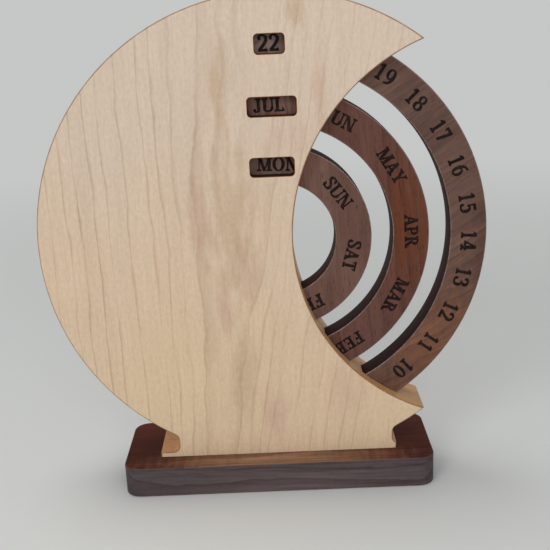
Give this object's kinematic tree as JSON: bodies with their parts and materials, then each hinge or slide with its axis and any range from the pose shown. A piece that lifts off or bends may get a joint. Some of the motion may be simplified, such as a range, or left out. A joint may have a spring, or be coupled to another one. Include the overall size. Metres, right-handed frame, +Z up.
{
  "type": "perpetual desk calendar",
  "caption": "Wooden perpetual desk calendar: a crescent body on a base shows the date, month and weekday in windows, set by turning rings at its open side.",
  "frame": {"origin": "centre of the base's underside", "axes": "+Z up, +X to the right as seen from the front, +Y to the back; the windows face -Y"},
  "size_m": [0.2789, 0.067, 0.313],
  "materials": {
    "base_walnut": "satin lacquer on dark walnut",
    "maple": "satin lacquer on maple",
    "ring_walnut": "satin lacquer on walnut",
    "dowel_wood": "raw beech",
    "screw_steel": "zinc-plated"
  },
  "bodies": {
    "root": {"base": "base_walnut", "front_board": "maple", "back_board": "maple", "board_dowels": "dowel_wood", "base_screws": "screw_steel"},
    "date_dial": {"date_ring": "ring_walnut"},
    "month_dial": {"month_ring": "ring_walnut"},
    "weekday_dial": {"weekday_ring": "ring_walnut"}
  },
  "joints": [
    {"name": "date_turn", "type": "hinge", "parent": "root", "child": "date_dial", "pos_m": [0.005, 0, 0.1637], "axis": [0, 1, 0], "continuous": true},
    {"name": "month_turn", "type": "hinge", "parent": "root", "child": "month_dial", "pos_m": [0.005, 0, 0.1637], "axis": [0, 1, 0], "continuous": true},
    {"name": "weekday_turn", "type": "hinge", "parent": "root", "child": "weekday_dial", "pos_m": [0.005, 0, 0.1637], "axis": [0, 1, 0], "continuous": true}
  ]
}
